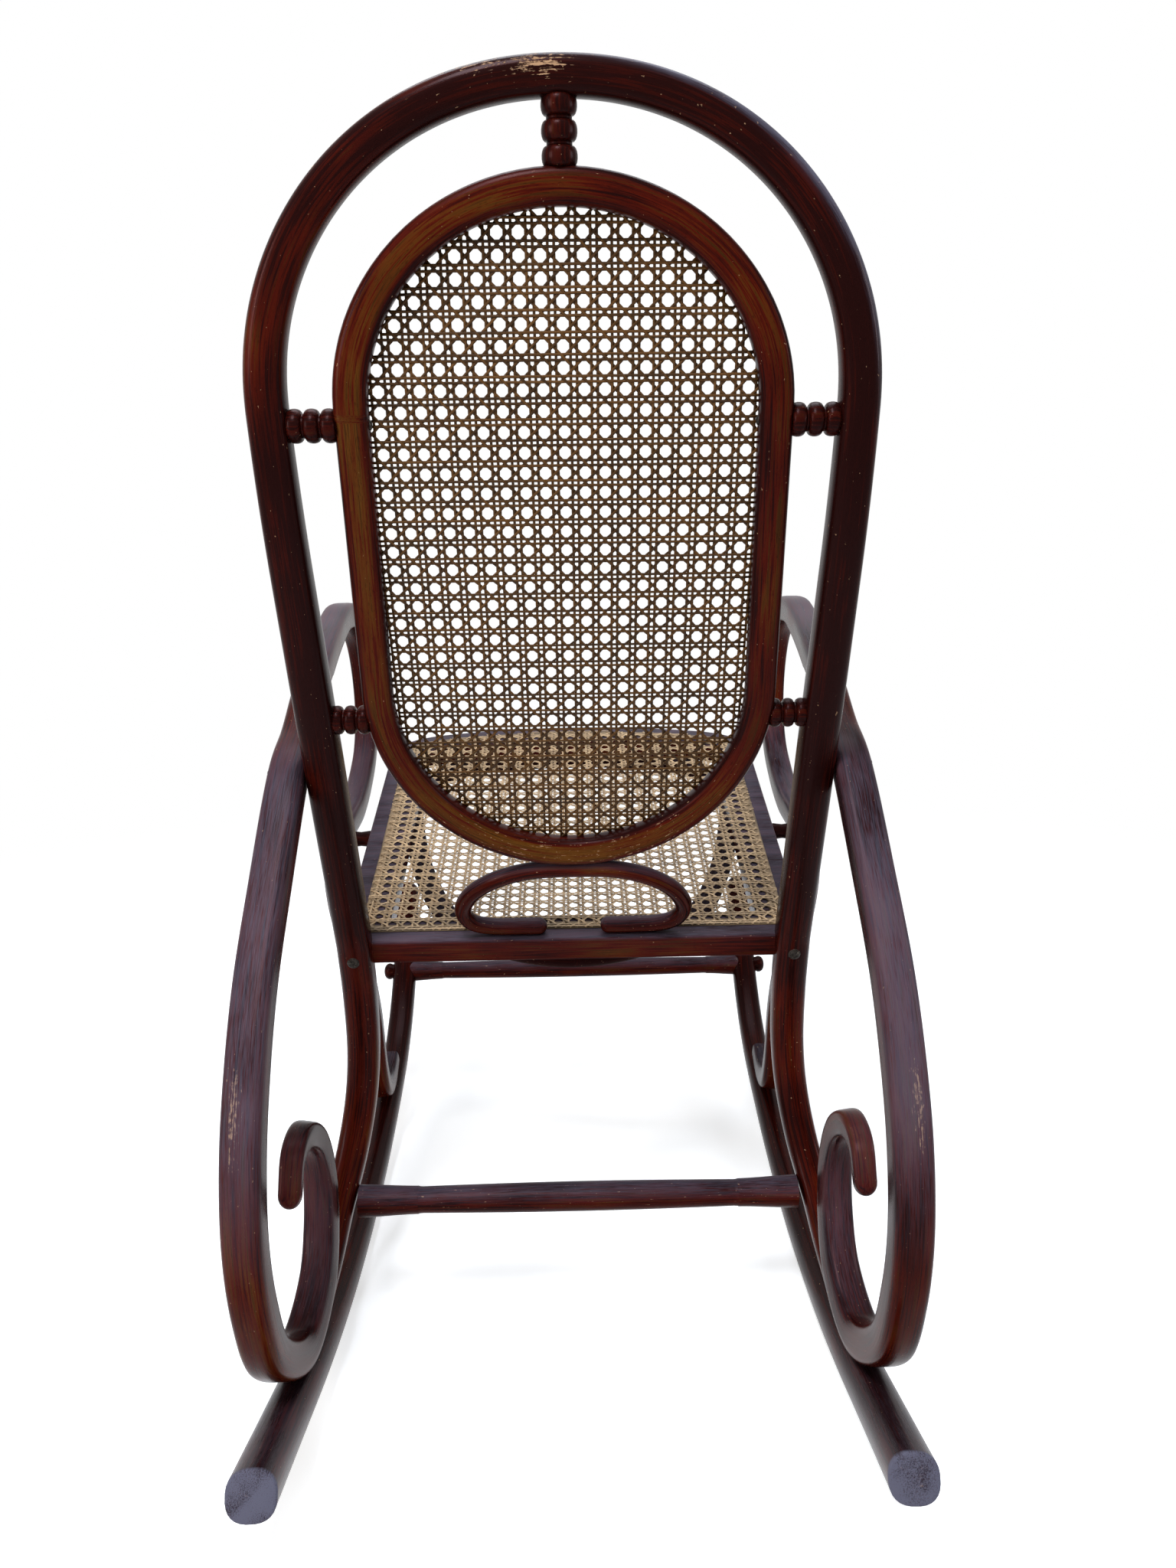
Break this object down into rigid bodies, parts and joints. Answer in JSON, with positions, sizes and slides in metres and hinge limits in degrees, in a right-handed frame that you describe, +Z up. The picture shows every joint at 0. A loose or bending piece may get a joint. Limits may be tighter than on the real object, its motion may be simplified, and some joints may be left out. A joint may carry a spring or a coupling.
{
  "type": "bentwood rocking chair",
  "caption": "Bentwood rocking chair with a caned seat, a caned oval back in a round-topped frame, and scrolled arms on curved runners.",
  "frame": {"origin": "on the floor, below the middle of the chair's width and length, with the empty chair at its resting tilt", "axes": "+Z up, the sitter faces -Y, +X to the sitter's left"},
  "size_m": [0.5416, 0.9002, 1.022],
  "materials": {
    "stained_beech": "steam-bent beech, stained dark mahogany red-brown under old glossy varnish",
    "golden_beech": "beech with the same stain rubbed back to a warm golden brown",
    "seat_cane": "woven rattan cane, straw to tan with age",
    "back_cane": "woven rattan cane, darkened brown",
    "dark_steel": "old steel screws and bolts, dulled"
  },
  "bodies": {
    "root": {"back_frame": "stained_beech", "back_oval_frame": "golden_beech", "back_cane": "back_cane", "bead_top": "stained_beech", "bead_upper_left": "stained_beech", "bead_upper_right": "stained_beech", "bead_lower_left": "stained_beech", "bead_lower_right": "stained_beech", "back_ornament_scroll": "stained_beech", "seat_rear_rail": "golden_beech", "seat_bent_rail": "stained_beech", "seat_cane": "seat_cane", "seat_brace_hoop": "stained_beech", "seat_spacer_left": "stained_beech", "seat_spacer_right": "stained_beech", "arm_scroll_left": "stained_beech", "arm_scroll_right": "stained_beech", "front_support_left": "stained_beech", "front_support_right": "stained_beech", "runner_left": "stained_beech", "runner_right": "stained_beech", "rear_stretcher": "stained_beech", "front_stretcher": "stained_beech", "stretcher_knob_left": "stained_beech", "stretcher_knob_right": "stained_beech", "arm_bolt_left": "dark_steel", "arm_bolt_right": "dark_steel", "seat_bolt_left": "dark_steel", "seat_bolt_right": "dark_steel", "rear_foot_screw_left": "dark_steel", "rear_foot_screw_right": "dark_steel", "front_foot_screw_left": "dark_steel", "front_foot_screw_right": "dark_steel", "scroll_screw_left": "dark_steel", "scroll_screw_right": "dark_steel"}
  },
  "joints": []
}
